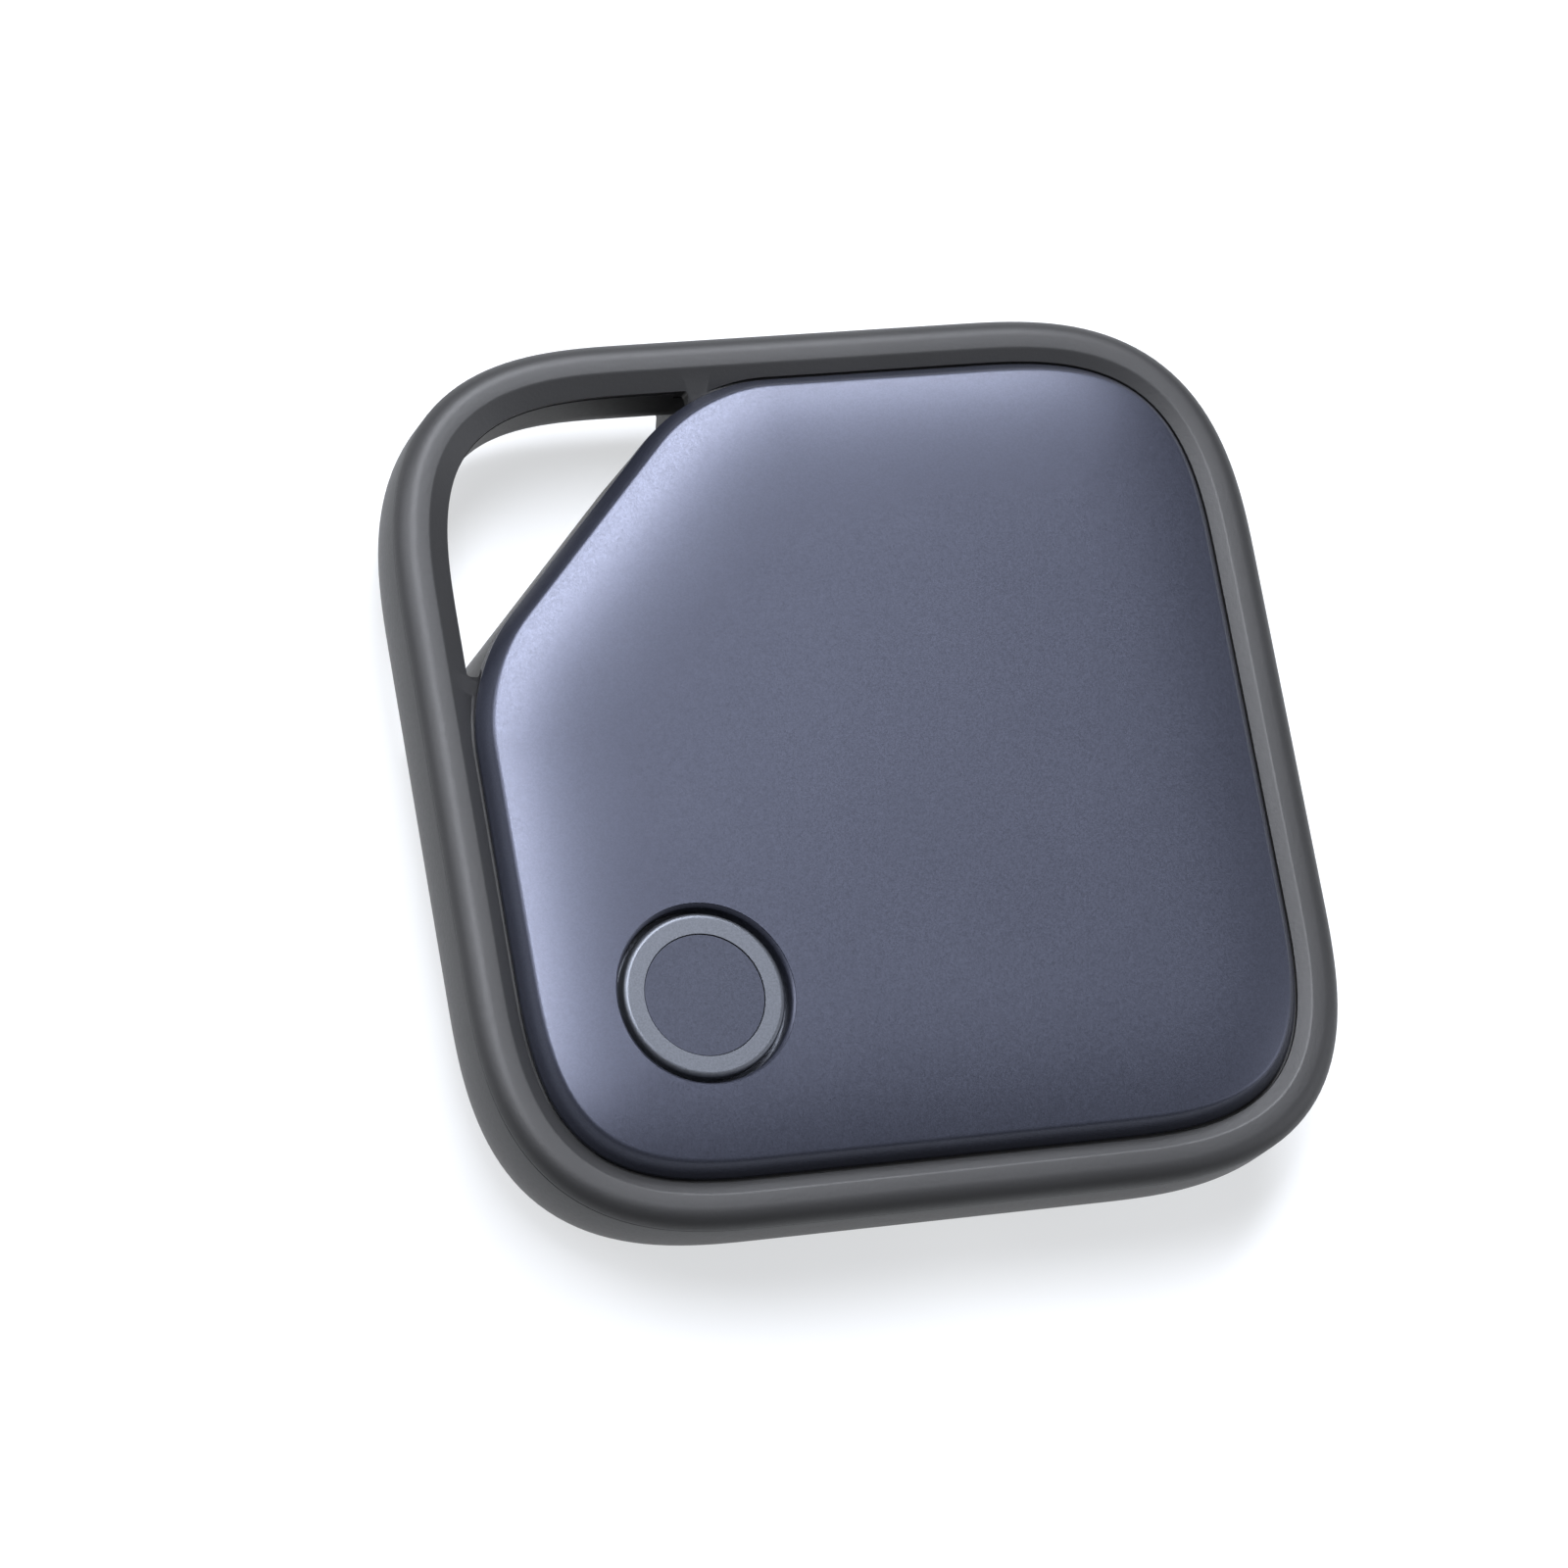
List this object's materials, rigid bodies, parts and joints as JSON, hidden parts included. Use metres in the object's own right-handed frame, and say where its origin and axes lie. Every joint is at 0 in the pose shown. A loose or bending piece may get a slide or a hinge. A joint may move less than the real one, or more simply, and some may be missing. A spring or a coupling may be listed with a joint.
{
  "type": "bluetooth tracker tag",
  "caption": "Rounded square tracker tag with a key ring loop in one corner, a painted front cover, a press button and a twist-off coin cell door.",
  "frame": {"origin": "middle of the rear face", "axes": "+Z out through the front cover, +Y towards the edge above the loop corner, loop corner at -X +Y"},
  "size_m": [0.038, 0.038, 0.008],
  "materials": {
    "shell_plastic": "fine textured dark grey",
    "frame_plastic": "satin dark grey metallic",
    "foam_tape": "black foam tape",
    "cover_paint": "satin slate blue metallic paint",
    "cap_paint": "satin light grey metallic paint",
    "silicone": "moulded silicone",
    "solder_mask": "green solder mask",
    "plated_steel": "nickel plated",
    "chip_resin": "black moulding resin",
    "antenna_ceramic": "glazed ceramic",
    "capacitor_ceramic": "fired ceramic with tinned ends",
    "switch_nylon": "natural nylon",
    "plunger_nylon": "black nylon",
    "clear_adhesive": "translucent tape",
    "sheet_brass": "rolled sheet",
    "piezo_white": "silvered ceramic",
    "gold_spring": "gold flash on spring bronze",
    "cell_steel": "drawn stainless",
    "cell_polymer": "polypropylene",
    "seal_rubber": "red silicone O-ring"
  },
  "bodies": {
    "case": {"rear_shell": "shell_plastic", "front_frame": "frame_plastic", "cover_tape": "foam_tape", "front_cover": "cover_paint", "button_seal": "silicone", "main_board": "solder_mask", "board_screws": "plated_steel", "bluetooth_chip": "chip_resin", "main_crystal": "plated_steel", "clock_crystal": "plated_steel", "chip_antenna": "antenna_ceramic", "motion_sensor": "chip_resin", "board_passives": "capacitor_ceramic", "switch_base": "switch_nylon", "switch_frame": "plated_steel", "piezo_adhesive": "clear_adhesive", "piezo_plate": "sheet_brass", "piezo_ceramic": "piezo_white", "piezo_contacts": "gold_spring", "cell_can": "cell_steel", "cell_gasket": "cell_polymer", "cell_cap": "cell_steel", "positive_contact": "gold_spring", "negative_contact": "gold_spring"},
    "button": {"button_cap": "cap_paint", "button_inlay": "cover_paint"},
    "plunger": {"switch_plunger": "plunger_nylon"},
    "door": {"battery_door": "shell_plastic", "door_seal": "seal_rubber"}
  },
  "joints": [
    {"name": "button_press", "type": "slide", "parent": "case", "child": "button", "axis": [0, 0, -1], "range_m": [0, 0.0002], "stiffness_N_per_m": 3200, "deforming": ["button_seal"]},
    {"name": "plunger_travel", "type": "slide", "parent": "case", "child": "plunger", "axis": [0, 0, -1], "range_m": [0, 0.0002], "deforming": ["button_seal"]},
    {"name": "door_twist", "type": "hinge", "parent": "case", "child": "door", "pos_m": [0, 0, 0], "axis": [0, 0, -1], "range_deg": [0, 35]}
  ],
  "couplings": [
    {"joint": "plunger_travel", "follows": "button_press", "ratio": 1}
  ]
}
